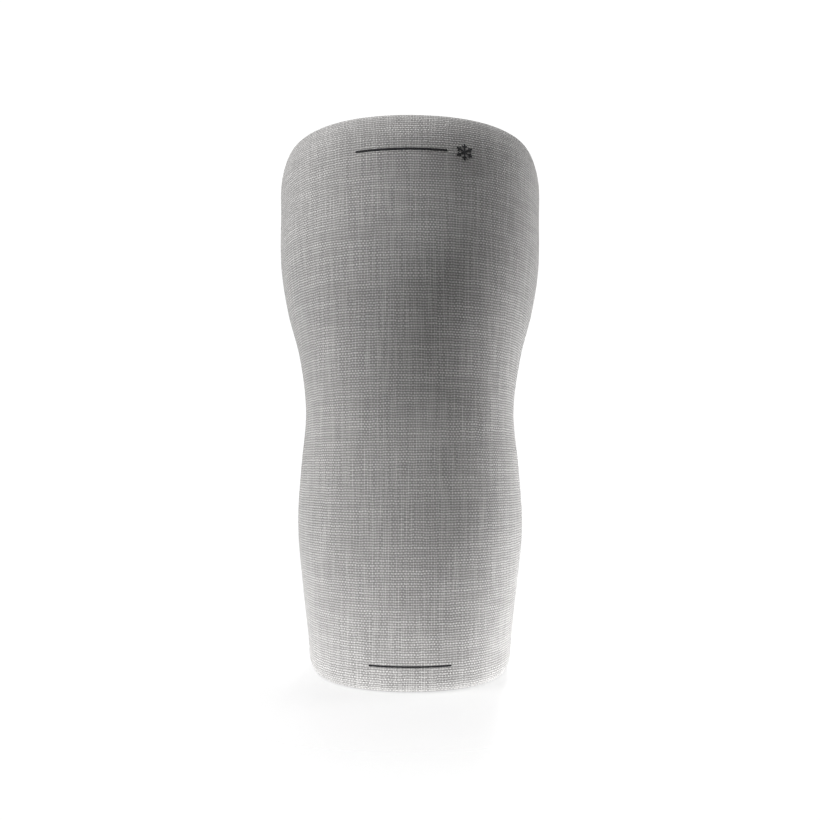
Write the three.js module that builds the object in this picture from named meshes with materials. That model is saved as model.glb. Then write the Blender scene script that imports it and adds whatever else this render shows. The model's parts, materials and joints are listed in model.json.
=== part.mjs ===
// Pull-on cold compression sleeve for the knee: a gel core between a woven cover and a knitted lining.
// Millimetres, +Z up. The sleeve stands on its lower mouth, front towards -Y, and is moulded slightly flexed.
import * as THREE from 'three';

// Driving dimensions
const sleeveLength = 262; // from mouth to mouth, along the curved centreline
const flexStart = 117.8; // the centreline is upright up to here
const flexLength = 55.8; // then follows an arc of this length
const flexAngle = THREE.MathUtils.degToRad(9.65); // and runs on straight, leaning back by this much
const depthShare = 0.98; // the section is this much shallower than it is wide
const squareness = 0.035; // how far the section fills out at its diagonals

// Half of the outside width at each height along the centreline
const girth = [
  [0, 51.5], // lower mouth
  [14, 52.3],
  [40, 55.0],
  [73, 57.8], // calf
  [103, 56.0],
  [131, 53.8], // waist, below the kneecap
  [158, 57.4],
  [181, 63.6],
  [205, 67.7],
  [232, 68.5], // thigh
  [248, 68.9],
  [262, 67.8], // upper mouth
];

// The wall, from the outside in
const coverThickness = 1.2;
const gelThickness = 6.5;
const liningThickness = 1.0;
const fit = 0.3; // clearance between neighbours
const wallThickness = coverThickness + gelThickness + liningThickness + 2 * fit;

// Each mouth: the cover rolls over a rounded lip and is sewn to the lining inside
const turnIn = 12; // how far the cover's edge reaches down inside
const crestFlat = 1.2; // width of the flat ring on each crest, which the sleeve stands on
const lowerLip = lip(3.6, 11, 6);
const upperLip = lip(3.4, 19, 8);
const elasticWidth = 7;
const elasticThickness = 2.2;
const elasticDepth = 3.6; // from the lip's crest to the elastic's edge
const threadDiameter = 0.7;

// The stretch that flexes, between two stiffer halves
const flexZone = [109, 161];

// Trim on the outside
const seamWidth = 4;
const seamHeight = 0.7;
const markHeight = 0.35;
const upperBar = { length: 42, width: 1, across: -4, along: 242.3 };
const lowerBar = { length: 38, width: 0.8, across: 0, along: 12.7 };
const flake = { diameter: 8.5, armWidth: 0.9, across: 25, along: 242.3 };

const aroundSteps = 32;
const colours = {
  cover: { color: 0x8f8e8b, roughness: 0.9 },
  gel: { color: 0x6f9fc0, roughness: 0.35 },
  lining: { color: 0x6e6e70, roughness: 0.95 },
  elastic: { color: 0xe8e6e0, roughness: 0.8 },
  thread: { color: 0x7d7c7a, roughness: 0.7 },
  print: { color: 0x1c1c1e, roughness: 0.6 },
};

const sleeve = new THREE.Group();

// The outside half-width: a cubic through the girth points, with each point's slope taken from its neighbours.
function halfWidth(along) {
  const last = girth.length - 1;
  const slope = (i) => {
    const [low, high] = [girth[Math.max(i - 1, 0)], girth[Math.min(i + 1, last)]];
    return (high[1] - low[1]) / (high[0] - low[0]);
  };
  let i = girth.findIndex(([place]) => place > along) - 1;
  if (i < 0) i = along < girth[0][0] ? 0 : last - 1;
  const span = girth[i + 1][0] - girth[i][0];
  const t = (along - girth[i][0]) / span;
  const rise = girth[i + 1][1] - girth[i][1];
  const startBow = slope(i) * span - rise;
  const endBow = rise - slope(i + 1) * span;
  return girth[i][1] + rise * t + t * (1 - t) * (startBow * (1 - t) + endBow * t);
}

// A mouth's rounding: the outer face comes in to the crest by outerInset, and the inner face comes out to it.
function lip(inset, outerHeight, innerHeight) {
  const outerInset = inset - crestFlat / 2;
  return { outerInset, outerHeight, innerInset: wallThickness - inset - crestFlat / 2, innerHeight };
}

// A quarter ellipse's inset: nothing at its height above the crest, all of it at the crest.
function roundOver(fromCrest, inset, height) {
  const t = THREE.MathUtils.clamp(1 - fromCrest / height, 0, 1);
  return inset * (1 - Math.sqrt(1 - t * t));
}

// The radius of the wall's outer and inner faces, lips included.
function outerFace(along) {
  const low = roundOver(along, lowerLip.outerInset, lowerLip.outerHeight);
  const high = roundOver(sleeveLength - along, upperLip.outerInset, upperLip.outerHeight);
  return halfWidth(along) - low - high;
}

function innerFace(along) {
  const low = roundOver(along, lowerLip.innerInset, lowerLip.innerHeight);
  const high = roundOver(sleeveLength - along, upperLip.innerInset, upperLip.innerHeight);
  return halfWidth(along) - wallThickness + low + high;
}

// A point of the sleeve: a radius in the direction `angle` (0 at the front), on the section at `along`.
// The section is a circle drawn out towards its diagonals by a wave of four crests.
function place(along, angle, radius) {
  const fullness = 1 + (squareness * (1 - Math.cos(4 * angle))) / 2;
  const across = radius * fullness * Math.sin(angle);
  const back = -radius * fullness * depthShare * Math.cos(angle);
  const turn = THREE.MathUtils.clamp((along - flexStart) / flexLength, 0, 1) * flexAngle;
  const arcRadius = flexLength / flexAngle;
  const beyond = Math.max(along - flexStart - flexLength, 0);
  const centreBack = arcRadius * (1 - Math.cos(turn)) + beyond * Math.sin(turn);
  const centreUp = Math.min(along, flexStart) + arcRadius * Math.sin(turn) + beyond * Math.cos(turn);
  return new THREE.Vector3(
    across,
    centreBack + back * Math.cos(turn),
    centreUp - back * Math.sin(turn),
  );
}

// Carries a shape built upright round the Y axis onto the flexed sleeve.
function settle(geometry) {
  const points = geometry.attributes.position;
  for (let i = 0; i < points.count; i++) {
    const [x, y, z] = [points.getX(i), points.getY(i), points.getZ(i)];
    const spot = place(y, Math.atan2(x, z), Math.hypot(x, z));
    points.setXYZ(i, spot.x, spot.y, spot.z);
  }
  return geometry;
}

// Carries a flat shape onto the cover: X goes round from the middle of `side`, Y along, Z outwards.
function wrapOnCover(geometry, side = 0) {
  const points = geometry.attributes.position;
  for (let i = 0; i < points.count; i++) {
    const along = points.getY(i);
    const angle = side + points.getX(i) / (halfWidth(along) * depthShare);
    const spot = place(along, angle, outerFace(along) + fit + points.getZ(i));
    points.setXYZ(i, spot.x, spot.y, spot.z);
  }
  return geometry;
}

function addPiece(name, geometry, finish) {
  const mesh = new THREE.Mesh(geometry, new THREE.MeshStandardMaterial(finish));
  mesh.name = name;
  sleeve.add(mesh);
}

// Evenly spaced heights from low to high, both included.
function heights(low, high, steps) {
  return Array.from({ length: steps + 1 }, (_, i) => low + ((high - low) * i) / steps);
}

// A closed ring whose section runs up the outside and down the inside.
function ring(outside, inside) {
  const profile = [...outside, ...inside.reverse(), outside[0].clone()];
  return settle(new THREE.LatheGeometry(profile, aroundSteps));
}

// A layer of the wall between two depths below its outer face.
function layer(low, high, outerDepth, innerDepth, steps) {
  const line = (depth) =>
    heights(low, high, steps).map((along) => new THREE.Vector2(halfWidth(along) - depth, along));
  return ring(line(outerDepth), line(innerDepth));
}

// The same line, shifted square to itself; to the left of its direction.
function shifted(line, distance) {
  return line.map((point, i) => {
    const before = line[Math.max(i - 1, 0)];
    const after = line[Math.min(i + 1, line.length - 1)];
    const run = after.clone().sub(before).normalize();
    return new THREE.Vector2(point.x - run.y * distance, point.y + run.x * distance);
  });
}

// The cover's outer line round a mouth, from its turned-in edge over the crest to the height `end`.
function mouthLine(crest, lip, end, steps) {
  const up = Math.sign(end - crest);
  const lipSteps = 4;
  const quarter = (inset, height, face, i) => {
    const t = (i / lipSteps) * (Math.PI / 2);
    const along = crest + up * height * (1 - Math.sin(t));
    return new THREE.Vector2(face(along), along);
  };
  const inside = [new THREE.Vector2(innerFace(crest + up * turnIn), crest + up * turnIn)];
  const outside = heights(crest + up * lip.outerHeight, end, steps).slice(1);
  for (let i = 1; i <= lipSteps; i++) inside.push(quarter(lip.innerInset, lip.innerHeight, innerFace, i));
  for (let i = lipSteps; i >= 0; i--) inside.push(quarter(lip.outerInset, lip.outerHeight, outerFace, i));
  return [...inside, ...outside.map((along) => new THREE.Vector2(outerFace(along), along))];
}

function cover() {
  const [low, high] = flexZone;
  const lowerLine = mouthLine(0, lowerLip, low - fit / 2, 6);
  addPiece('lower_cover', ring(lowerLine, shifted(lowerLine, coverThickness)), colours.cover);
  addPiece('waist_cover', layer(low + fit / 2, high - fit / 2, 0, coverThickness, 4), colours.cover);
  const upperLine = mouthLine(sleeveLength, upperLip, high + fit / 2, 6).reverse();
  addPiece('upper_cover', ring(upperLine, shifted(upperLine, coverThickness)), colours.cover);
}

function gelCore() {
  const outer = coverThickness + fit;
  const inner = outer + gelThickness;
  const end = turnIn + 1;
  const [low, high] = flexZone;
  addPiece('lower_gel', layer(end, low - fit / 2, outer, inner, 5), colours.gel);
  addPiece('waist_gel', layer(low + fit / 2, high - fit / 2, outer, inner, 4), colours.gel);
  addPiece('upper_gel', layer(high + fit / 2, sleeveLength - end, outer, inner, 5), colours.gel);
}

function lining() {
  const outer = wallThickness - liningThickness;
  const end = turnIn + fit;
  const [low, high] = flexZone;
  addPiece('lower_lining', layer(end, low - fit / 2, outer, wallThickness, 5), colours.lining);
  addPiece('waist_lining', layer(low + fit / 2, high - fit / 2, outer, wallThickness, 4), colours.lining);
  addPiece('upper_lining', layer(high + fit / 2, sleeveLength - end, outer, wallThickness, 5), colours.lining);
}

// A flat elastic band, sewn into the middle of a lip.
function hemElastic(name, low) {
  const middle = low + elasticWidth / 2;
  const radius = (outerFace(middle) + innerFace(middle)) / 2;
  const side = (reach) =>
    [low, low + elasticWidth].map((along) => new THREE.Vector2(radius + reach, along));
  addPiece(name, ring(side(elasticThickness / 2), side(-elasticThickness / 2)), colours.elastic);
}

// The ring of thread that joins the cover's turned-in edge to the lining.
function joinSeam(name, along) {
  const centre = new THREE.Vector2(innerFace(along) - fit - threadDiameter / 2, along);
  const point = (i) =>
    new THREE.Vector2(
      centre.x + (threadDiameter / 2) * Math.cos((i * Math.PI) / 3),
      centre.y + (threadDiameter / 2) * Math.sin((i * Math.PI) / 3),
    );
  addPiece(name, ring([5, 6, 7].map(point), [4, 3, 2].map(point)), colours.thread);
}

// The closing seam down the back of the cover, a low ridge of thread.
function backSeam(name, low, high) {
  const steps = 8;
  const strip = new THREE.BoxGeometry(seamWidth, high - low, seamHeight, 2, steps, 1);
  strip.translate(0, (low + high) / 2, seamHeight / 2);
  addPiece(name, wrapOnCover(strip, Math.PI), colours.thread);
}

// A plain bar.
function markBar(name, { length, width, across, along }) {
  const bar = new THREE.BoxGeometry(length, width, markHeight, 10, 1, 1);
  addPiece(name, wrapOnCover(bar.translate(across, along, markHeight / 2)), colours.print);
}

// A plain six-armed flake, the usual sign for cold.
function markFlake(name, { diameter, armWidth, across, along }) {
  const arms = 6;
  const notch = armWidth / 2 / Math.sin(Math.PI / arms);
  const corners = [];
  for (let i = 0; i < arms; i++) {
    const turn = (i * 2 * Math.PI) / arms + Math.PI / 2;
    const corner = (out, side, more) =>
      corners.push(new THREE.Vector2(out, side).rotateAround(new THREE.Vector2(), turn + more));
    corner(diameter / 2, -armWidth / 2, 0);
    corner(diameter / 2, armWidth / 2, 0);
    corner(notch, 0, Math.PI / arms);
  }
  const settings = { depth: markHeight, bevelEnabled: false };
  const shape = new THREE.ExtrudeGeometry(new THREE.Shape(corners), settings);
  addPiece(name, wrapOnCover(shape.translate(across, along, 0)), colours.print);
}

cover();
gelCore();
lining();
hemElastic('bottom_elastic', elasticDepth);
hemElastic('top_elastic', sleeveLength - elasticDepth - elasticWidth);
joinSeam('bottom_join_seam', turnIn + fit / 2);
joinSeam('top_join_seam', sleeveLength - turnIn - fit / 2);
backSeam('lower_back_seam', turnIn, flexZone[0] - fit / 2);
backSeam('waist_back_seam', flexZone[0] + fit / 2, flexZone[1] - fit / 2);
backSeam('upper_back_seam', flexZone[1] + fit / 2, sleeveLength - turnIn - 3);
markBar('bottom_mark_bar', lowerBar);
markBar('top_mark_bar', upperBar);
markFlake('top_mark_flake', flake);

// The origin is on the ground, under the middle of the whole sleeve.
const middle = new THREE.Box3().setFromObject(sleeve).getCenter(new THREE.Vector3());
sleeve.position.y = -middle.y;

export default sleeve;
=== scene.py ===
# A pull-on cold compression sleeve for the knee, standing on a pale floor.
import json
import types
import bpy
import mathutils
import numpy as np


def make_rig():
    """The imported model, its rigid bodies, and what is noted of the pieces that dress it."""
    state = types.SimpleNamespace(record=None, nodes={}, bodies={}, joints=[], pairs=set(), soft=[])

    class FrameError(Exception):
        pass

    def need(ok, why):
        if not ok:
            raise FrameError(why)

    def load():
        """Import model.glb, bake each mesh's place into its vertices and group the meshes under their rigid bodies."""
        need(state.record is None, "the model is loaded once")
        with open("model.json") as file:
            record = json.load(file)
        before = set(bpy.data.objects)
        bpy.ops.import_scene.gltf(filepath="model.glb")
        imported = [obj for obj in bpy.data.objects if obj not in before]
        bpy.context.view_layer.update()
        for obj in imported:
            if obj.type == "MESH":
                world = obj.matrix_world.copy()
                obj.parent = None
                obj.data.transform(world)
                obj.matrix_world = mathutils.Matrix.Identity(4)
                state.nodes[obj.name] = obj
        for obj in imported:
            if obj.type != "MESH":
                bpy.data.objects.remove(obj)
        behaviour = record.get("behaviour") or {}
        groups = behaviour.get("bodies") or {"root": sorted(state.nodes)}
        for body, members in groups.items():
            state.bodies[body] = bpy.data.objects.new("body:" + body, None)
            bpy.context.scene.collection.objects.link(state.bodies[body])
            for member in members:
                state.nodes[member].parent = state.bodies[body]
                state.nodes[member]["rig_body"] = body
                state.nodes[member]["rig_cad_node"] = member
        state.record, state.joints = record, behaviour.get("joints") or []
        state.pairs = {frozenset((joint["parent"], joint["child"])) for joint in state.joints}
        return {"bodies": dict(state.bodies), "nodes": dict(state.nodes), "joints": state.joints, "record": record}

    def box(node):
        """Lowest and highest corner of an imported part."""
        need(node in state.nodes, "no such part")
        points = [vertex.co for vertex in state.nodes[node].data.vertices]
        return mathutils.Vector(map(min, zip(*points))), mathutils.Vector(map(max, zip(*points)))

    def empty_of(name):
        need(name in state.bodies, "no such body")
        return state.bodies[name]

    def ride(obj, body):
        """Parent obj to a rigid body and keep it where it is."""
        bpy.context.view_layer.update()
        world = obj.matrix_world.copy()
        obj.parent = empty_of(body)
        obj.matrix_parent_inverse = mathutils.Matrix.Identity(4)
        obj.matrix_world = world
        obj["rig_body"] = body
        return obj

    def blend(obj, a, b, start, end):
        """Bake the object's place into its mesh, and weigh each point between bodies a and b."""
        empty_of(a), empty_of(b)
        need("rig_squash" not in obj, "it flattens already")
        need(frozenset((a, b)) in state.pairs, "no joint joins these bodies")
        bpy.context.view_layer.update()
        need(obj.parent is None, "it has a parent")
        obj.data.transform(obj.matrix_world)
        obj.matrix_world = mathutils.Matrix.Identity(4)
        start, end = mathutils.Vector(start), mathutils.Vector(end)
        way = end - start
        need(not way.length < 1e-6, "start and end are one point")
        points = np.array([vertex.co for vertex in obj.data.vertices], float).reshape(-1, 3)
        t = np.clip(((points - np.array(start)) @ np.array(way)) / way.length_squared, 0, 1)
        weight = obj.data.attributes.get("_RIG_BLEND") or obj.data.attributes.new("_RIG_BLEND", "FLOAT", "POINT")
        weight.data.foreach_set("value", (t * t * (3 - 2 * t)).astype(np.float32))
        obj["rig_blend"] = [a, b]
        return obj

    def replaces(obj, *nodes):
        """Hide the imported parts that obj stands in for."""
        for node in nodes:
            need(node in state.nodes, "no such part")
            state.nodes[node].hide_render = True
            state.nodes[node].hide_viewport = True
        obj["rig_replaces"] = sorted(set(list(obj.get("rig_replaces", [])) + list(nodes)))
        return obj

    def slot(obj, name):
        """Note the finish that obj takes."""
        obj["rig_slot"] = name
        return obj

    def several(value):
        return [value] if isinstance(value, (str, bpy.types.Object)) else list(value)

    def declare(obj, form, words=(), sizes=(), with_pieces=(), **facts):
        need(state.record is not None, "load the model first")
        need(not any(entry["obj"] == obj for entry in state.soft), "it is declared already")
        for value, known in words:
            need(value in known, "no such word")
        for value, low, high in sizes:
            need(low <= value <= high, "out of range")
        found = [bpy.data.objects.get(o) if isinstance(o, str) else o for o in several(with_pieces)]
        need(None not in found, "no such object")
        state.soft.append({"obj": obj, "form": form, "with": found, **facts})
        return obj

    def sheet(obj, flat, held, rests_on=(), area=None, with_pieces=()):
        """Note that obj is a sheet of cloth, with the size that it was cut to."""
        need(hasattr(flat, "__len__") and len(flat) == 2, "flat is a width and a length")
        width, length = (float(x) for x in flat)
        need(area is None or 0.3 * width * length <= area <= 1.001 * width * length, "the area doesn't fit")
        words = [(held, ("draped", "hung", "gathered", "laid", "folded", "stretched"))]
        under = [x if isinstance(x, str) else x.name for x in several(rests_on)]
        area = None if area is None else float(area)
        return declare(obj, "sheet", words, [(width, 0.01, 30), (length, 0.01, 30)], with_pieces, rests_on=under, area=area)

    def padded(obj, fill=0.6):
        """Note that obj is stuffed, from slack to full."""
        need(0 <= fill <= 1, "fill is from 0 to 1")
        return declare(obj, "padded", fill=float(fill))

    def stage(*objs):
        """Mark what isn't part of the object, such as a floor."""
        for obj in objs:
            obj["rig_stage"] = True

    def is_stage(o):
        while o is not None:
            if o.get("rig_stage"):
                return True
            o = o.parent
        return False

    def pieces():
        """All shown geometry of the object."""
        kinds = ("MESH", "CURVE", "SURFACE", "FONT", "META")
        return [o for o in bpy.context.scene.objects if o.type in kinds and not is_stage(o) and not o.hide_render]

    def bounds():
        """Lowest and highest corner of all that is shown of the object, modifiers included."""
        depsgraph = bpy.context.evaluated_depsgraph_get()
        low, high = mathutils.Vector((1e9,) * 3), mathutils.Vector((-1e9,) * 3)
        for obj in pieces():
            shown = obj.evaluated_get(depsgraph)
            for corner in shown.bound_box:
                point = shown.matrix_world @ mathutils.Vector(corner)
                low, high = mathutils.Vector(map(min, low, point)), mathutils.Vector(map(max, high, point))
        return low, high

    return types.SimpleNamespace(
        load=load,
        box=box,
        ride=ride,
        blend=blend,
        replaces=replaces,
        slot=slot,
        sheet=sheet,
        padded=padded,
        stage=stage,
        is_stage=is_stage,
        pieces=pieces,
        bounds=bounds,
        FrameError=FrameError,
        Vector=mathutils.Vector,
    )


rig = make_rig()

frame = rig.load()

import json
import math
import bmesh
import bpy
import numpy as np

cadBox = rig.bounds()
mm = 0.001


def boxMiddle(node, axis):
    low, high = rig.box(node)
    return (low[axis] + high[axis]) / 2


# The sleeve's own shape, in millimetres. along runs up the flexed centreline from the calf mouth,
# angle runs round from the front, and radius is half of the width there. bendReach is how far
# above and below the knee's hinge the fabric shares its bend.
sleeve = dict(
    length=262.0, flexStart=117.8, flexLength=55.8, flexAngle=math.radians(9.65),
    depthShare=0.98, squareness=0.035, mouthDip=1.6, dipReach=55.0,
    wall=9.3, cover=1.2, gel=6.5, lining=1.0, gap=0.3, turnIn=12.0, bendReach=62.0,
    axisY=boxMiddle("bottom_elastic", 1) / mm,
)
girth = np.array([
    (0, 51.5), (14, 52.3), (40, 55.0), (73, 57.8), (103, 56.0), (131, 53.8),
    (158, 57.4), (181, 63.6), (205, 67.7), (232, 68.5), (248, 68.9), (262, 67.8),
])
calfLip = dict(crest=0.0, outer=(3.6, 7.0), inner=(5.7, 6.0))
thighLip = dict(crest=sleeve["length"], outer=(3.4, 19.0), inner=(5.9, 8.0))


def smoothStep(low, high, value):  # 3t^2 - 2t^3, from 0 at low to 1 at high
    t = np.clip((value - low) / (high - low), 0, 1)
    return t * t * (3 - 2 * t)


def halfWidth(along):
    # A cubic between neighbouring girth points, with each point's slope taken across its neighbours.
    places, widths = girth.T
    padded = np.pad(girth, ((1, 1), (0, 0)), mode="edge")
    slopes = (padded[2:, 1] - padded[:-2, 1]) / (padded[2:, 0] - padded[:-2, 0])
    i = np.clip(np.searchsorted(places, along, side="right") - 1, 0, len(places) - 2)
    span, rise = places[i + 1] - places[i], widths[i + 1] - widths[i]
    t = (along - places[i]) / span
    startBow, endBow = slopes[i] * span - rise, rise - slopes[i + 1] * span
    return widths[i] + rise * t + t * (1 - t) * (startBow * (1 - t) + endBow * t)


def roundOver(fromCrest, inset, height):  # a quarter ellipse: none at its height, all at the crest
    t = np.clip(1 - fromCrest / height, 0, 1)
    return inset * (1 - np.sqrt(1 - t * t))


def outerFace(along):
    low = roundOver(along, *calfLip["outer"])
    return halfWidth(along) - low - roundOver(sleeve["length"] - along, *thighLip["outer"])


def innerFace(along):
    low = roundOver(along, *calfLip["inner"])
    high = roundOver(sleeve["length"] - along, *thighLip["inner"])
    return halfWidth(along) - sleeve["wall"] + low + high


kneeShape = dict(
    hollow=3.4, hollowAlong=133.0, fullness=2.6, fullAlong=180.0,
    reach=16.0, toRight=0.12, width=0.5,
)


def kneeRelief(along, angle):
    # The front over the kneecap: two bell curves up the sleeve, in at the waist and out above it,
    # times one bell curve round it.
    k = kneeShape
    low = np.exp(-((along - k["hollowAlong"]) / k["reach"]) ** 2 / 2)
    high = np.exp(-((along - k["fullAlong"]) / k["reach"]) ** 2 / 2)
    turn = np.arctan2(np.sin(angle - k["toRight"]), np.cos(angle - k["toRight"]))
    return (k["fullness"] * high - k["hollow"] * low) * np.exp(-(turn / k["width"]) ** 2 / 2)


def place(along, angle, radius):
    # The section is a circle drawn out to its diagonals by a wave of four crests, set square to a
    # centreline that is upright, then an arc, then straight. The thigh mouth dips at front and back.
    s = sleeve
    dip = smoothStep(s["length"] - s["dipReach"], s["length"], along) * np.cos(angle) ** 2
    along = along - s["mouthDip"] * dip
    radius = radius + kneeRelief(along, angle)
    fullness = 1 + s["squareness"] * (1 - np.cos(4 * angle)) / 2
    across = radius * fullness * np.sin(angle)
    back = -radius * fullness * s["depthShare"] * np.cos(angle)
    turn = np.clip((along - s["flexStart"]) / s["flexLength"], 0, 1) * s["flexAngle"]
    arcRadius = s["flexLength"] / s["flexAngle"]
    beyond = np.maximum(along - s["flexStart"] - s["flexLength"], 0)
    centreBack = s["axisY"] + arcRadius * (1 - np.cos(turn)) + beyond * np.sin(turn)
    centreUp = np.minimum(along, s["flexStart"]) + arcRadius * np.sin(turn) + beyond * np.cos(turn)
    spot = [across + 0 * centreUp, centreBack + back * np.cos(turn), centreUp - back * np.sin(turn)]
    return np.stack(spot, axis=-1) * mm


def gridPiece(name, points, closedRows, closedColumns, uv=None):
    # points is rows x columns x 3. uv has one row and column more wherever the grid closes.
    rows, columns = points.shape[:2]
    i = np.arange(rows if closedRows else rows - 1)[:, None]
    j = np.arange(columns if closedColumns else columns - 1)[None, :]
    below, beside = (i + 1) % rows, (j + 1) % columns
    quads = np.stack([
        i * columns + j, i * columns + beside, below * columns + beside, below * columns + j,
    ], axis=-1).reshape(-1, 4)
    mesh = bpy.data.meshes.new(name)
    mesh.from_pydata(points.reshape(-1, 3), [], quads)
    mesh.polygons.foreach_set("use_smooth", np.ones(len(quads), bool))
    if uv is not None:
        width = uv.shape[1]
        spots = np.stack([
            i * width + j, i * width + j + 1, (i + 1) * width + j + 1, (i + 1) * width + j,
        ], axis=-1)
        layer = mesh.uv_layers.new(name="clothMap")
        layer.data.foreach_set("uv", uv.reshape(-1, 2)[spots.reshape(-1)].astype(np.float32).ravel())
    mesh.update()
    piece = bpy.data.objects.new(name, mesh)
    bpy.context.scene.collection.objects.link(piece)
    return piece


def facesOut(piece):
    # Signed volume: the sum of each triangle's triple product, negative when inside out.
    mesh = piece.data
    mesh.calc_loop_triangles()
    spots, threes = np.zeros(len(mesh.vertices) * 3), np.zeros(len(mesh.loop_triangles) * 3, np.int32)
    mesh.vertices.foreach_get("co", spots)
    mesh.loop_triangles.foreach_get("vertices", threes)
    a, b, c = np.moveaxis(spots.reshape(-1, 3)[threes.reshape(-1, 3)], 1, 0)
    if (a * np.cross(b, c)).sum() < 0:
        mesh.flip_normals()
    return piece


def lengths(points, axis):  # how far each point is along its grid line, in the points' own unit
    steps = np.linalg.norm(np.diff(points, axis=axis), axis=-1)
    return np.concatenate([np.zeros_like(np.take(steps, [0], axis)), np.cumsum(steps, axis)], axis)


coverCut = dict(
    columns=196, seamColumns=24, seamSpread=0.09, edgeSteps=4, lipSteps=14, sideSteps=124,
    wave=0.12, waveLengths=(31, 23, 17, 12), levelFoot=(3, 12),
    welt=0.3, weltReach=1.7, weltWidth=0.8, groove=0.45, grooveWidth=0.45, stretch=1.08,
)


# The cover's line runs from its edge inside the thigh mouth, over the lip, down the outside, and in
# again at the calf mouth.
def mouthLine(lip, outward):  # one mouth's part of it: up to the lip, then a quarter ellipse each way
    turn = np.linspace(0, math.pi / 2, coverCut["lipSteps"])
    up = np.sign(sleeve["length"] / 2 - lip["crest"])
    rise = up * (1 - np.sin(turn))
    inner, outer = lip["crest"] + rise * lip["inner"][1], lip["crest"] + rise * lip["outer"][1]
    edge = lip["crest"] + up * np.linspace(sleeve["turnIn"], lip["inner"][1], coverCut["edgeSteps"])[:-1]
    along = np.concatenate([edge, inner, outer[-2::-1]])
    radius = np.concatenate([innerFace(edge), innerFace(inner), outerFace(outer)[-2::-1]])
    line = np.stack([radius, along], axis=-1)
    return line if outward else line[::-1]


def coverLine():
    high, low = sleeve["length"] - thighLip["outer"][1], calfLip["outer"][1]
    middle = np.linspace(high, low, coverCut["sideSteps"])[1:-1]
    straight = np.stack([outerFace(middle), middle], axis=-1)
    return np.concatenate([mouthLine(thighLip, True), straight, mouthLine(calfLip, False)])


def squareTo(line):  # unit normals on the side away from the wall's inside
    run = np.gradient(line, axis=0)
    run /= np.linalg.norm(run, axis=1)[:, None]
    return np.stack([-run[:, 1], run[:, 0]], axis=-1)


edgeLine = coverLine()
edgeNormal = squareTo(edgeLine)
edgeRun = lengths(edgeLine, 0)


def softWave(along, angle):
    # Slow products of sines for the soft core beneath; the lip that stands on the ground stays level.
    first, second, third, fourth = coverCut["waveLengths"]
    wave = np.sin(3 * angle + along / first) * np.sin(2 * angle - along / second + 1)
    wave = wave + 0.6 * np.sin(5 * angle - along / third + 2) * np.sin(along / fourth + 0.5)
    return coverCut["wave"] * wave * smoothStep(*coverCut["levelFoot"], along)


def coverSpot(run, angle, lift):
    # A point at a length along the cover's line, lifted off its face.
    radius, along = (
        np.interp(run, edgeRun, edgeLine[:, k]) + lift * np.interp(run, edgeRun, edgeNormal[:, k])
        for k in (0, 1)
    )
    return place(along, angle, radius + softWave(along, angle))


def coverAngles():
    # Round from the back, closer together on both sides of the back seam.
    near = coverCut["seamSpread"]
    wide = np.linspace(near - math.pi, math.pi - near, coverCut["columns"])
    seam = np.linspace(math.pi - near, math.pi + near, coverCut["seamColumns"] + 1)[1:-1]
    return np.concatenate([wide, seam])


frontOnMap = 0.25  # metres of cloth before the front, so that every thread's number is positive


def clothMap(points, run, angle):
    # Metres of cloth: round the sleeve from the front, and along each grid line in proportion to its
    # own length, so that the bend's longer front is shared out evenly over the whole line.
    ringed = np.concatenate([points, points[:, :1]], axis=1)
    ringed = np.concatenate([ringed, ringed[:1]])
    around = lengths(ringed, 1)
    front = np.argmin(np.abs(angle))
    around = around - around[:, front:front + 1] + frontOnMap
    up = lengths(ringed, 0)
    return np.stack([around, up * run[-1] * mm / up[-1:]], axis=-1)


def makeCover():
    # Two skins a cloth's thickness apart, closed over both turned-in edges. The back has two welts
    # with a groove between them, each a bell curve.
    c = coverCut
    angle = coverAngles()
    skin = edgeLine - edgeNormal * sleeve["cover"]
    line = np.concatenate([edgeLine, skin[::-1]])
    radius, along = line[:, :1], line[:, 1:]
    fromSeam = np.abs(math.pi - np.abs(angle - 2 * math.pi * (angle > math.pi))) * radius
    seam = c["welt"] * np.exp(-((fromSeam - c["weltReach"]) / c["weltWidth"]) ** 2)
    seam = seam - c["groove"] * np.exp(-((fromSeam / c["grooveWidth"]) ** 2))
    seam = seam * smoothStep(*c["levelFoot"], along)
    points = place(along, angle[None, :], radius + softWave(along, angle) + seam)
    closed = np.concatenate([line, line[:1]])
    cover = gridPiece("outer_cover", points, True, True, clothMap(points, lengths(closed, 0), angle))
    return facesOut(cover)


def band(name, low, high, outerDepth, innerDepth, cut, waves=None):
    # A layer of the wall between two depths, each end a half ellipse that reaches endReach out.
    rows, ends = cut["rows"], cut["endReach"]
    turn = np.linspace(-math.pi / 2, math.pi / 2, cut["endSteps"])
    middle, half = (outerDepth + innerDepth) / 2, (innerDepth - outerDepth) / 2
    straight = np.linspace(low + ends, high - ends, rows)
    tip = high - ends + ends * np.cos(turn)
    foot = low + ends - ends * np.cos(turn)
    along = np.concatenate([straight, tip[1:-1], straight[::-1], foot[1:-1]])
    depth = np.concatenate([
        np.full(rows, outerDepth), middle + half * np.sin(turn[1:-1]),
        np.full(rows, innerDepth), middle - half * np.sin(turn[1:-1]),
    ])
    angle = np.linspace(-math.pi, math.pi, cut["columns"], endpoint=False)
    radius = (halfWidth(along) - depth)[:, None]
    if waves is not None:
        radius = radius + waves(angle[None, :], depth[:, None])
    points = place(along[:, None], angle[None, :], radius)
    line = np.stack([radius.mean(axis=1), along], axis=-1)
    closed = np.concatenate([line, line[:1]])
    return facesOut(gridPiece(name, points, True, True, clothMap(points, lengths(closed, 0), angle)))


liningCut = dict(rows=110, columns=180, endReach=0.5, endSteps=9, stretch=1.05)


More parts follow.
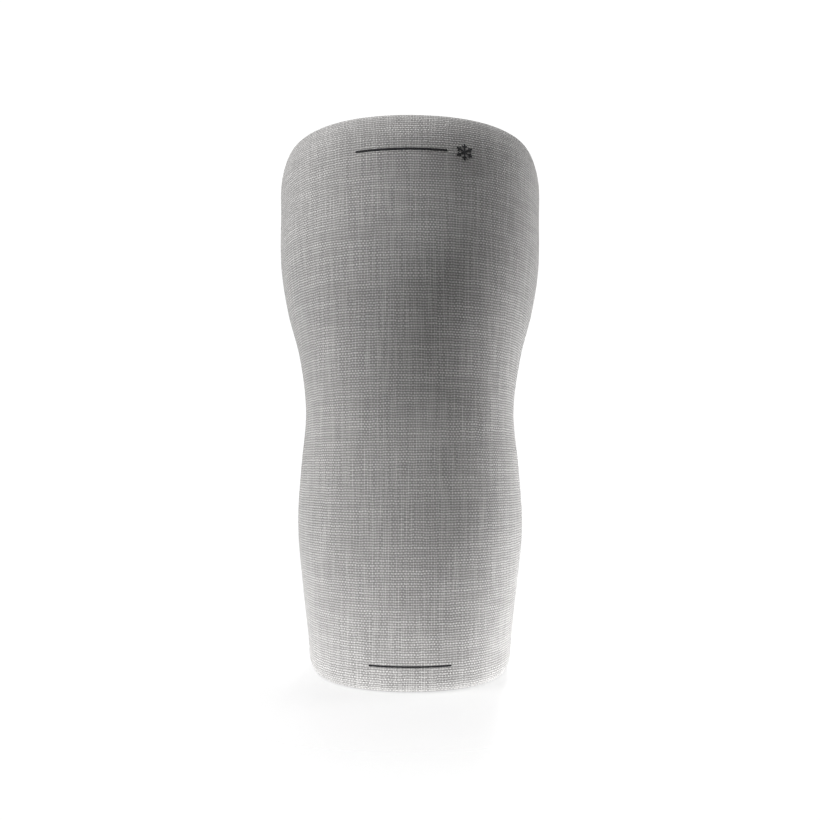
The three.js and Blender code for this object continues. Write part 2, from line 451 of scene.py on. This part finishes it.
def makeLining():
    low = sleeve["turnIn"] + sleeve["gap"]
    depth = sleeve["wall"] - sleeve["lining"]
    return band("inner_lining", low, sleeve["length"] - low, depth, sleeve["wall"], liningCut)


gelMould = dict(
    rows=80, columns=168, endReach=2.6, endSteps=9, fromEdge=1.0, flute=0.35, flutes=42, fluteReach=1.0,
    deepColour=(0.2, 0.4, 0.6, 1), paleColour=(0.42, 0.6, 0.72, 1), cloud=60, grain=900, grainDepth=0.05,
    roughness=0.32, glow=0.3, glowReach=(0.002, 0.004, 0.006),
)


def makeGel():
    # The face against the lining has shallow upright flutes, a cosine round the sleeve.
    g = gelMould
    low = sleeve["turnIn"] + g["fromEdge"]
    outer = sleeve["cover"] + sleeve["gap"]
    inner = outer + sleeve["gel"]

    def flutes(angle, depth):
        return g["flute"] * (depth > inner - g["fluteReach"]) * (0.5 - 0.5 * np.cos(g["flutes"] * angle))

    return band("gel_core", low, sleeve["length"] - low, outer, inner, g, flutes)


elasticBand = dict(
    width=7.0, thickness=2.2, fromCrest=3.6, cords=5, cordRise=0.12, corner=0.35, steps=64, columns=220,
)


def makeElastic(name, low):
    # A rounded strip whose two faces are ribbed lengthwise: a superellipse plus a cosine across it.
    e = elasticBand
    turn = np.linspace(0, 2 * math.pi, e["steps"], endpoint=False)
    c, s = np.cos(turn), np.sin(turn)
    across = np.sign(s) * np.abs(s) ** e["corner"] * e["width"] / 2
    ribs = e["cordRise"] * np.cos(2 * math.pi * e["cords"] * across / e["width"])
    thick = np.sign(c) * np.abs(c) ** e["corner"] * (e["thickness"] / 2 + ribs)
    middle = low + e["width"] / 2
    radius = (outerFace(np.array(middle)) + innerFace(np.array(middle))) / 2 + thick
    angle = np.linspace(-math.pi, math.pi, e["columns"], endpoint=False)
    points = place((middle + across)[:, None], angle[None, :], radius[:, None])
    line = np.stack([thick, across], axis=-1)
    closed = np.concatenate([line, line[:1]])
    return facesOut(gridPiece(name, points, True, True, clothMap(points, lengths(closed, 0), angle)))


threadWork = dict(
    radius=0.24, sides=7, tip=0.02, lift=0.2, dive=0.34, zigzagHold=8, rowHold=10,
    zigzag=2.6, point=0.96, stitchSteps=16, seamHalf=1.9, seamEnds=(0.6, 3.2), needleRow=2.3,
    joinTurns=(92, 124), joinSteps=12, joinHalf=1.7,
    darkColour=(0.2, 0.197, 0.19, 1), paleColour=(0.5, 0.495, 0.48, 1), twist=0.9, plyDepth=0.06,
    roughness=0.55, sheen=0.15,
)


def threadPiece(name, path, outward, closed):
    # A circle carried along the path. Its first axis is the outward direction made square to the path.
    run = np.roll(path, -1, 0) - np.roll(path, 1, 0) if closed else np.gradient(path, axis=0)
    run /= np.linalg.norm(run, axis=1)[:, None]
    first = outward - (outward * run).sum(1)[:, None] * run
    first /= np.linalg.norm(first, axis=1)[:, None]
    second = np.cross(run, first)
    turn = np.linspace(0, 2 * math.pi, threadWork["sides"], endpoint=False)[None, :, None]
    size = np.full((len(path), 1, 1), threadWork["radius"] * mm)
    if not closed:
        size[[0, -1]] *= threadWork["tip"]
    points = path[:, None] + size * (np.cos(turn) * first[:, None] + np.sin(turn) * second[:, None])
    runLength = lengths(path, 0)
    rows = len(path) + 1 if closed else len(path)
    u = np.tile(np.linspace(0, 1, threadWork["sides"] + 1), (rows, 1))
    v = np.append(runLength, runLength[-1] * (1 + 1 / rows)) if closed else runLength
    uv = np.stack([u, np.broadcast_to(v[:, None], u.shape)], axis=-1)
    piece = gridPiece(name, points, closed, True, uv)
    if not closed:
        closeEnds(piece, len(path), threadWork["sides"])
    return facesOut(piece)


def closeEnds(piece, rows, sides):
    # Fills the first and last rings.
    shape = bmesh.new()
    shape.from_mesh(piece.data)
    shape.verts.ensure_lookup_table()
    for start, back in ((0, True), ((rows - 1) * sides, False)):
        ringed = [shape.verts[start + k] for k in range(sides)]
        shape.faces.new(ringed[::-1] if back else ringed)
    shape.normal_update()
    shape.to_mesh(piece.data)
    shape.free()


def stitchWave(run, length):  # a softened triangle wave between -1 and 1, the arcsine of a sine
    point = threadWork["point"]
    return np.arcsin(point * np.sin(2 * math.pi * run / length)) / math.asin(point)


def joined(name, pieces):
    bpy.ops.object.select_all(action="DESELECT")
    for piece in pieces:
        piece.select_set(True)
    bpy.context.view_layer.objects.active = pieces[0]
    bpy.ops.object.join()
    pieces[0].select_set(False)
    pieces[0].name = pieces[0].data.name = name
    return pieces[0]


def outsideRun(along):  # the length along the cover's line where the outside has that height
    top, foot = np.argmax(edgeLine[:, 1]), np.argmin(edgeLine[:, 1])
    return np.interp(along, edgeLine[foot:top:-1, 1], edgeRun[foot:top:-1])


def makeBackSeam():
    # A flat seam: one thread zigzags over the butted edges and two rows of stitches run beside it.
    # Each dives into the cloth at its turns, as a high power of a wave.
    t = threadWork
    fromTop, fromFoot = t["seamEnds"]
    start, end = outsideRun(sleeve["length"] - fromTop), outsideRun(fromFoot)
    run = np.arange(start, end, t["zigzag"] / t["stitchSteps"])
    radius = np.interp(run, edgeRun, edgeLine[:, 0])
    swing = stitchWave(run, t["zigzag"])
    rows = [(t["seamHalf"] * swing, t["lift"] - t["dive"] * np.abs(swing) ** t["zigzagHold"])]
    hop = np.abs(np.cos(math.pi * run / t["zigzag"])) ** t["rowHold"]
    rows += [(side * t["needleRow"] + 0 * run, t["lift"] - t["dive"] * hop) for side in (-1, 1)]
    threads = []
    for across, lift in rows:
        angle = math.pi + across / radius
        path, above = coverSpot(run, angle, lift), coverSpot(run, angle, lift + 1)
        threads.append(threadPiece("back_stitch", path, above - path, False))
    return joined("back_seam_thread", threads)


def makeJoinSeam(name, along, zigzags):
    # A zigzag round the inside of a mouth, over the cover's turned-in edge and the lining.
    t = threadWork
    angle = np.linspace(0, 2 * math.pi, zigzags * t["joinSteps"], endpoint=False)
    swing = stitchWave(angle, 2 * math.pi / zigzags)
    height = along + t["joinHalf"] * swing
    lift = t["lift"] - t["dive"] * np.abs(swing) ** t["zigzagHold"]
    inside = innerFace(height)
    path, above = place(height, angle, inside - lift), place(height, angle, inside - lift - 1)
    return threadPiece(name, path, above - path, True)


# The printed marks: a plain bar near each mouth, and a plain six-armed flake, the usual sign for cold.
filmPrint = dict(
    thickness=0.12, lift=0.1, tip=0.01, endSteps=7, step=1.5, sides=12,
    deepColour=(0.006, 0.006, 0.007, 1), paleColour=(0.02, 0.02, 0.022, 1),
    grain=1400, grainDepth=0.04, roughness=0.6, gloss=0.1,
)
upperBar = dict(length=42.0, width=1.0, across=-4.0, along=242.3)
lowerBar = dict(length=38.0, width=0.8, across=0.0, along=12.7)
flakeMark = dict(size=8.6, width=0.75, across=25.0, along=242.3, branchAt=0.55, branch=0.32)


def filmStroke(start, end, width, along):
    # A flat strip with round ends from start to end, given in millimetres round and up the cover.
    start, end = np.array(start), np.array(end)
    span, half = np.linalg.norm(end - start), width / 2
    bend = np.linspace(0, math.pi / 2, filmPrint["endSteps"])
    straight = np.linspace(half, span - half, max(3, int(span / filmPrint["step"])))[1:-1]
    at = np.concatenate([half * (1 - np.cos(bend)), straight, span - half * (1 - np.cos(bend[::-1]))])
    wide = half * np.concatenate([np.sin(bend), np.ones(len(straight)), np.sin(bend[::-1])])
    wide = (wide + filmPrint["tip"])[:, None, None] * mm
    flat = start + (end - start) / span * at[:, None]
    run = outsideRun(along) - flat[:, 1]
    radius = np.interp(run, edgeRun, edgeLine[:, 0]) * sleeve["depthShare"]
    angle = flat[:, 0] / radius
    path = coverSpot(run, angle, filmPrint["lift"])
    above = coverSpot(run, angle, filmPrint["lift"] + 1) - path
    forward = np.gradient(path, axis=0)
    side = np.cross(forward, above)
    side /= np.linalg.norm(side, axis=1)[:, None]
    above /= np.linalg.norm(above, axis=1)[:, None]
    turn = np.linspace(0, 2 * math.pi, filmPrint["sides"], endpoint=False)[None, :, None]
    thick = filmPrint["thickness"] / 2 * mm
    points = path[:, None] + np.cos(turn) * thick * above[:, None] + np.sin(turn) * wide * side[:, None]
    stroke = gridPiece("stroke", points, False, True)
    closeEnds(stroke, len(at), filmPrint["sides"])
    return facesOut(stroke)


def makeBar(name, mark):
    middle, half = mark["across"], mark["length"] / 2
    bar = filmStroke((middle - half, 0), (middle + half, 0), mark["width"], mark["along"])
    bar.name = bar.data.name = name
    return bar


def makeFlake(name, mark):
    centre, arm = np.array([mark["across"], 0.0]), mark["size"] / 2
    strokes = []
    for k in range(6):
        turn = math.pi / 2 + k * math.pi / 3
        out = np.array([math.cos(turn), math.sin(turn)])
        if k < 3:
            strokes.append((centre - arm * out, centre + arm * out))
        for lean in (-1, 1):
            tip = np.array([math.cos(turn + lean * math.pi / 3), math.sin(turn + lean * math.pi / 3)])
            root = centre + arm * mark["branchAt"] * out
            strokes.append((root, root + arm * mark["branch"] * tip))
    return joined(name, [filmStroke(a, b, mark["width"], mark["along"]) for a, b in strokes])


def newFinish(name):
    finish = bpy.data.materials.new(name)
    finish.use_nodes = True
    return finish, finish.node_tree, finish.node_tree.nodes["Principled BSDF"]


def put(tree, socket, value):  # a link from a socket, or a fixed value
    if isinstance(value, bpy.types.NodeSocket):
        tree.links.new(value, socket)
    else:
        socket.default_value = value


def calc(tree, operation, *values):
    node = tree.nodes.new("ShaderNodeMath")
    node.operation = operation
    for socket, value in zip(node.inputs, values):
        put(tree, socket, value)
    return node.outputs[0]


def noise(tree, where, scale, detail=2.0):  # scale is three numbers, per metre
    stretch = tree.nodes.new("ShaderNodeMapping")
    stretch.inputs["Scale"].default_value = scale
    tree.links.new(where, stretch.inputs["Vector"])
    node = tree.nodes.new("ShaderNodeTexNoise")
    node.inputs["Scale"].default_value = 1.0
    node.inputs["Detail"].default_value = detail
    tree.links.new(stretch.outputs[0], node.inputs["Vector"])
    return node.outputs["Fac"]


def spread(tree, value, amount):  # noise about its middle: amount * (value - 0.5)
    return calc(tree, "MULTIPLY", calc(tree, "SUBTRACT", value, 0.5), amount)


def blendColours(tree, share, first, second):
    node = tree.nodes.new("ShaderNodeMix")
    node.data_type = "RGBA"
    put(tree, node.inputs["Factor"], share)
    put(tree, node.inputs[6], first)
    put(tree, node.inputs[7], second)
    return node.outputs[2]


def addBump(tree, shader, height, depth):  # depth in millimetres
    node = tree.nodes.new("ShaderNodeBump")
    node.inputs["Distance"].default_value = depth * mm
    tree.links.new(height, node.inputs["Height"])
    tree.links.new(node.outputs[0], shader.inputs["Normal"])


# What all three cloths share: pattern sizes per metre of cloth, how far apart neighbouring threads
# read the thickness noise, and how thin a thread may be.
threadLook = dict(
    wanderRound=(90, 300, 1), wanderUp=(300, 60, 1), mottle=(40, 40, 1), fibre=(5000, 5000, 1),
    nextThread=5.37, thinnest=-0.12, gloss=0.1, sheenRoughness=0.45,
)


def threadSlub(tree, thread, along, cloth, share):
    # Thick places: noise drawn out along each thread and different on the next, kept where it is high.
    where = tree.nodes.new("ShaderNodeCombineXYZ")
    tree.links.new(calc(tree, "MULTIPLY", thread, threadLook["nextThread"]), where.inputs[0])
    tree.links.new(calc(tree, "DIVIDE", along, cloth["slubLength"] * mm), where.inputs[1])
    thick = calc(tree, "SUBTRACT", noise(tree, where.outputs[0], (1, 1, 1), detail=1), cloth["slubFrom"])
    return calc(tree, "MULTIPLY_ADD", calc(tree, "MAXIMUM", thick, threadLook["thinnest"]), share, 1.0)


def weaveHeight(tree, u, v, cloth):
    # Plain weave. With a and b counting warp and weft threads, a weft thread stands
    # cos(pi (b - nearest b)) high across itself, to the power of fullness, and rises over every other
    # warp thread, half a cosine; the warp does the opposite.
    a, b = calc(tree, "DIVIDE", u, cloth["warp"] * mm), calc(tree, "DIVIDE", v, cloth["weft"] * mm)
    nearA, nearB = calc(tree, "ROUND", a), calc(tree, "ROUND", b)

    def crown(place, near, other, sign, fullness):
        off = calc(tree, "SUBTRACT", place, near)
        across = calc(tree, "COSINE", calc(tree, "MULTIPLY", off, math.pi))
        over = calc(tree, "COSINE", calc(tree, "MULTIPLY", calc(tree, "ADD", other, near), math.pi))
        rise = calc(tree, "MULTIPLY_ADD", over, 0.5 * sign, 0.5)
        across = calc(tree, "POWER", calc(tree, "MAXIMUM", across, 0.0), fullness)
        return calc(tree, "MULTIPLY", across, rise)

    weft = crown(b, nearB, a, 1, cloth["fullness"])
    warp = calc(tree, "MULTIPLY", crown(a, nearA, b, -1, cloth["fullness"]), cloth["warpShare"])
    weft = calc(tree, "MULTIPLY", weft, threadSlub(tree, nearB, u, cloth, cloth["slub"]))
    warp = calc(tree, "MULTIPLY", warp, threadSlub(tree, nearA, v, cloth, cloth["slubUp"]))
    return calc(tree, "MAXIMUM", weft, warp)


# Each cloth's gap colour is painted shade between the threads, where they shade each other; its crown colour is the
# threads' own colour.
coverCloth = dict(
    warp=0.755, weft=1.155, fullness=0.75, warpShare=0.78, wander=0.42, threadDepth=0.24,
    slubLength=24, slubFrom=0.53, slub=1.3, slubUp=2.0, mottle=0.06, fibre=0.15,
    gapColour=(0.035, 0.034, 0.033, 1), crownColour=(0.595, 0.584, 0.576, 1),
    roughness=0.85, sheen=0.25,
)
liningCloth = dict(
    warp=0.6, weft=0.7, fullness=1.0, warpShare=0.8, wander=0.15, threadDepth=0.08,
    slubLength=30, slubFrom=0.52, slub=1.0, slubUp=1.0, mottle=0.1, fibre=0.2,
    gapColour=(0.1, 0.1, 0.105, 1), crownColour=(0.27, 0.27, 0.28, 1),
    roughness=0.9, sheen=0.3,
)
elasticCloth = dict(
    warp=1.4, weft=0.5, fullness=0.7, warpShare=0.6, wander=0.1, threadDepth=0.1,
    slubLength=30, slubFrom=0.52, slub=0.6, slubUp=0.4, mottle=0.06, fibre=0.15,
    gapColour=(0.55, 0.54, 0.5, 1), crownColour=(0.85, 0.84, 0.8, 1),
    roughness=0.7, sheen=0.2,
)


def clothFinish(name, cloth):
    # A weave in metres of cloth, whose threads wander a little, with slow mottling and fine fibre, and painted shade
    # in the gaps between the threads.
    look = threadLook
    finish, tree, shader = newFinish(name)
    mapped = tree.nodes.new("ShaderNodeUVMap")
    mapped.uv_map = "clothMap"
    where = mapped.outputs[0]
    parts = tree.nodes.new("ShaderNodeSeparateXYZ")
    tree.links.new(where, parts.inputs[0])
    wander = cloth["wander"] * 2 * mm
    u = calc(tree, "ADD", parts.outputs[0], spread(tree, noise(tree, where, look["wanderRound"]), wander))
    v = calc(tree, "ADD", parts.outputs[1], spread(tree, noise(tree, where, look["wanderUp"]), wander))
    height = weaveHeight(tree, u, v, cloth)
    mottle = spread(tree, noise(tree, where, look["mottle"], detail=3), cloth["mottle"])
    fibre = spread(tree, noise(tree, where, look["fibre"], detail=1), cloth["fibre"])
    share = calc(tree, "ADD", height, calc(tree, "ADD", mottle, fibre))
    clamped = calc(tree, "MINIMUM", calc(tree, "MAXIMUM", share, 0.0), 1.0)
    # Painted shade: the lower the weave, the nearer the colour comes to the dark gap colour.
    colour = blendColours(tree, clamped, cloth["gapColour"], cloth["crownColour"])
    tree.links.new(colour, shader.inputs["Base Color"])
    addBump(tree, shader, height, cloth["threadDepth"])
    shader.inputs["Roughness"].default_value = cloth["roughness"]
    shader.inputs["Specular IOR Level"].default_value = look["gloss"]
    shader.inputs["Sheen Weight"].default_value = cloth["sheen"]
    shader.inputs["Sheen Roughness"].default_value = look["sheenRoughness"]
    return finish


def gelFinish():
    # Soft blue elastomer with slow cloudiness and a faint moulded grain.
    g = gelMould
    finish, tree, shader = newFinish("coldGel")
    where = tree.nodes.new("ShaderNodeTexCoord").outputs["Object"]
    cloud = noise(tree, where, [g["cloud"]] * 3, detail=4)
    colour = blendColours(tree, cloud, g["deepColour"], g["paleColour"])
    tree.links.new(colour, shader.inputs["Base Color"])
    addBump(tree, shader, noise(tree, where, [g["grain"]] * 3), g["grainDepth"])
    shader.inputs["Roughness"].default_value = g["roughness"]
    shader.inputs["Subsurface Weight"].default_value = g["glow"]
    shader.inputs["Subsurface Radius"].default_value = g["glowReach"]
    return finish


def threadFinish():
    # Twisted plies: a sine that runs round and along the thread.
    t = threadWork
    finish, tree, shader = newFinish("greyThread")
    mapped = tree.nodes.new("ShaderNodeUVMap")
    mapped.uv_map = "clothMap"
    parts = tree.nodes.new("ShaderNodeSeparateXYZ")
    tree.links.new(mapped.outputs[0], parts.inputs[0])
    along = calc(tree, "DIVIDE", parts.outputs[1], t["twist"] * mm)
    turns = calc(tree, "ADD", parts.outputs[0], along)
    ply = calc(tree, "SINE", calc(tree, "MULTIPLY", turns, 2 * math.pi))
    share = calc(tree, "MULTIPLY_ADD", ply, 0.5, 0.5)
    colour = blendColours(tree, share, t["darkColour"], t["paleColour"])
    tree.links.new(colour, shader.inputs["Base Color"])
    addBump(tree, shader, share, t["plyDepth"])
    shader.inputs["Roughness"].default_value = t["roughness"]
    shader.inputs["Sheen Weight"].default_value = t["sheen"]
    return finish


def printFinish():
    # Matt black film with a fine grain of its own.
    film = filmPrint
    finish, tree, shader = newFinish("printFilm")
    where = tree.nodes.new("ShaderNodeTexCoord").outputs["Object"]
    grain = noise(tree, where, [film["grain"]] * 3)
    colour = blendColours(tree, grain, film["deepColour"], film["paleColour"])
    tree.links.new(colour, shader.inputs["Base Color"])
    addBump(tree, shader, grain, film["grainDepth"])
    shader.inputs["Roughness"].default_value = film["roughness"]
    shader.inputs["Specular IOR Level"].default_value = film["gloss"]
    return finish


def dress(piece, finish, slot, *stands):  # gives a piece its finish and the parts that it stands for
    piece.data.materials.clear()
    piece.data.materials.append(finish)
    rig.replaces(piece, *stands)
    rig.slot(piece, slot)
    return piece


def bendsAtKnee(piece):  # follows the lower half below the knee and the upper half above it
    joint = frame["joints"][0]
    reach = sleeve["bendReach"] * mm
    y, z = sleeve["axisY"] * mm, joint["pos_m"][2]
    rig.blend(piece, "lower", "upper", start=(0, y, z - reach), end=(0, y, z + reach))


coverFinish = clothFinish("coverCloth", coverCloth)
greyThread = threadFinish()

cover = dress(makeCover(), coverFinish, "cover_fabric", "lower_cover", "waist_cover", "upper_cover")
bendsAtKnee(cover)
print("cover made")
lining = dress(makeLining(), clothFinish("liningCloth", liningCloth), "lining_fabric",
               "lower_lining", "waist_lining", "upper_lining")
bendsAtKnee(lining)
gel = dress(makeGel(), gelFinish(), "gel", "lower_gel", "waist_gel", "upper_gel")
bendsAtKnee(gel)
print("lining and gel made")

elasticFinish = clothFinish("elasticWeb", elasticCloth)
lowEdge = elasticBand["fromCrest"]
highEdge = sleeve["length"] - lowEdge - elasticBand["width"]
for name, low, body in (("bottom_elastic", lowEdge, "lower"), ("top_elastic", highEdge, "upper")):
    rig.ride(dress(makeElastic(name + "_band", low), elasticFinish, "elastic", name), body)

lowJoin = sleeve["turnIn"] + sleeve["gap"] / 2
highJoin = sleeve["length"] - lowJoin
lowTurns, highTurns = threadWork["joinTurns"]
for name, along, zigzags, body in (
    ("bottom_join_seam", lowJoin, lowTurns, "lower"), ("top_join_seam", highJoin, highTurns, "upper"),
):
    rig.ride(dress(makeJoinSeam(name + "_thread", along, zigzags), greyThread, "thread", name), body)
backSeam = dress(makeBackSeam(), greyThread, "thread",
                 "lower_back_seam", "waist_back_seam", "upper_back_seam")
bendsAtKnee(backSeam)
print("elastics and seams made")

printed = printFinish()
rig.ride(dress(makeBar("bottom_bar", lowerBar), printed, "print", "bottom_mark_bar"), "lower")
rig.ride(dress(makeBar("top_bar", upperBar), printed, "print", "top_mark_bar"), "upper")
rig.ride(dress(makeFlake("top_flake", flakeMark), printed, "print", "top_mark_flake"), "upper")
print("marks made")


def cutSize(piece, stretch):
    # What a cloth was cut to: its width is the widest way round, its height the line from edge to edge.
    mesh = piece.data
    areas = np.zeros(len(mesh.polygons))
    mesh.polygons.foreach_get("area", areas)
    spots = np.zeros(len(mesh.loops) * 2, np.float32)
    mesh.uv_layers["clothMap"].data.foreach_get("uv", spots)
    wide, high = np.ptp(spots.reshape(-1, 2), axis=0)
    return dict(flat=(round(float(wide) / stretch, 3), round(float(high) / 2, 3)),
                area=round(float(areas.sum()) / 2 / stretch, 4))


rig.sheet(cover, held="stretched", rests_on=["gel_core"], **cutSize(cover, coverCut["stretch"]))
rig.sheet(lining, held="stretched", rests_on=["gel_core"], **cutSize(lining, liningCut["stretch"]))
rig.padded(gel, fill=0.9)


studio = dict(
    floorSize=0.42, floorPinhole=0.00001, floorRings=24, floorColumns=96, fadeFrom=0.07, fadeTo=0.21,
    floorColour=(0.15, 0.15, 0.15, 1), floorGlow=0.69, floorRoughness=0.42, floorGloss=0.3,
    background=1.05, cameraBack=0.4281, cameraHeight=0.1252, shift=0.0151, lens=36.0, sensor=36.0,
    aimAt=(0, 0, 0.14),
)
softLights = dict(
    left=dict(at=(-0.79, -0.21, 0.48), size=0.3, power=3.4),
    highLeft=dict(at=(-0.5, -0.29, 0.79), size=0.3, power=7.6),
    highRight=dict(at=(0.45, 0.0, 0.88), size=0.3, power=3.7),
    rightBack=dict(at=(0.87, 0.23, 0.13), size=0.3, power=3.7),
    rightRim=dict(at=(0.3, 0.0, 0.03), size=0.05, power=0.56),
    back=dict(at=(0.15, 0.9, 0.5), size=0.4, power=5.0),
    bounce=dict(at=(0.0, -0.0136, 0.0004), size=0.45, power=0.88, target=(0.0, -0.0136, 1.0)),
)


def floorPoints():  # rings of even spacing round the origin
    s = studio
    out = np.linspace(s["floorPinhole"], s["floorSize"], s["floorRings"])[:, None]
    turn = np.linspace(0, 2 * math.pi, s["floorColumns"], endpoint=False)[None, :]
    return np.stack([out * np.cos(turn), out * np.sin(turn), 0 * out * turn], axis=-1)


def makeFloor():
    # A disc that lets the pale background through towards its rim, by a smooth step of the distance.
    s = studio
    floor = gridPiece("floor", floorPoints(), False, True)
    finish, tree, shader = newFinish("paleFloor")
    shader.inputs["Base Color"].default_value = s["floorColour"]
    shader.inputs["Roughness"].default_value = s["floorRoughness"]
    shader.inputs["Specular IOR Level"].default_value = s["floorGloss"]
    shader.inputs["Emission Color"].default_value = (1, 1, 1, 1)
    shader.inputs["Emission Strength"].default_value = s["floorGlow"]
    where = tree.nodes.new("ShaderNodeTexCoord").outputs["Object"]
    length = tree.nodes.new("ShaderNodeVectorMath")
    length.operation = "LENGTH"
    tree.links.new(where, length.inputs[0])
    fade = tree.nodes.new("ShaderNodeMapRange")
    fade.interpolation_type = "SMOOTHSTEP"
    fade.inputs["From Min"].default_value = s["fadeFrom"]
    fade.inputs["From Max"].default_value = s["fadeTo"]
    fade.inputs["To Min"].default_value = 1.0
    fade.inputs["To Max"].default_value = 0.0
    tree.links.new(length.outputs["Value"], fade.inputs["Value"])
    tree.links.new(fade.outputs[0], shader.inputs["Alpha"])
    floor.data.materials.append(finish)
    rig.stage(floor)


def makeLights():
    for name, light in softLights.items():
        data = bpy.data.lights.new(name, "AREA")
        data.shape, data.size, data.energy = "DISK", light["size"], light["power"]
        lamp = bpy.data.objects.new(name, data)
        lamp.location = light["at"]
        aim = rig.Vector(light.get("target", studio["aimAt"])) - lamp.location
        lamp.rotation_euler = aim.to_track_quat("-Z", "Y").to_euler()
        lamp.visible_camera = False
        bpy.context.scene.collection.objects.link(lamp)


def makeBackground():
    # White where it is seen or mirrored; the lamps and the floor light the object.
    world = bpy.data.worlds.new("studio")
    bpy.context.scene.world = world
    world.use_nodes = True
    tree = world.node_tree
    rays = tree.nodes.new("ShaderNodeLightPath")
    seen = calc(tree, "MAXIMUM", rays.outputs["Is Camera Ray"], rays.outputs["Is Glossy Ray"])
    strength = calc(tree, "MULTIPLY", seen, studio["background"])
    tree.nodes["Background"].inputs["Color"].default_value = (1, 1, 1, 1)
    tree.links.new(strength, tree.nodes["Background"].inputs["Strength"])


def makeCamera():
    # Level, a little below half the sleeve's height, with its view shifted up to take the sleeve in.
    data = bpy.data.cameras.new("camera")
    data.lens, data.sensor_width, data.shift_y = studio["lens"], studio["sensor"], studio["shift"]
    camera = bpy.data.objects.new("camera", data)
    camera.location = (0, sleeve["axisY"] * mm - studio["cameraBack"], studio["cameraHeight"])
    camera.rotation_euler = (math.pi / 2, 0, 0)
    bpy.context.scene.collection.objects.link(camera)
    bpy.context.scene.camera = camera


makeFloor()
makeLights()
makeBackground()
makeCamera()
bpy.context.scene.view_settings.view_transform = "Standard"
print("studio made")

with open("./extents.json", "w") as file:
    json.dump({
        "cad": [list(corner) for corner in cadBox], "visual": [list(corner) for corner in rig.bounds()],
    }, file)
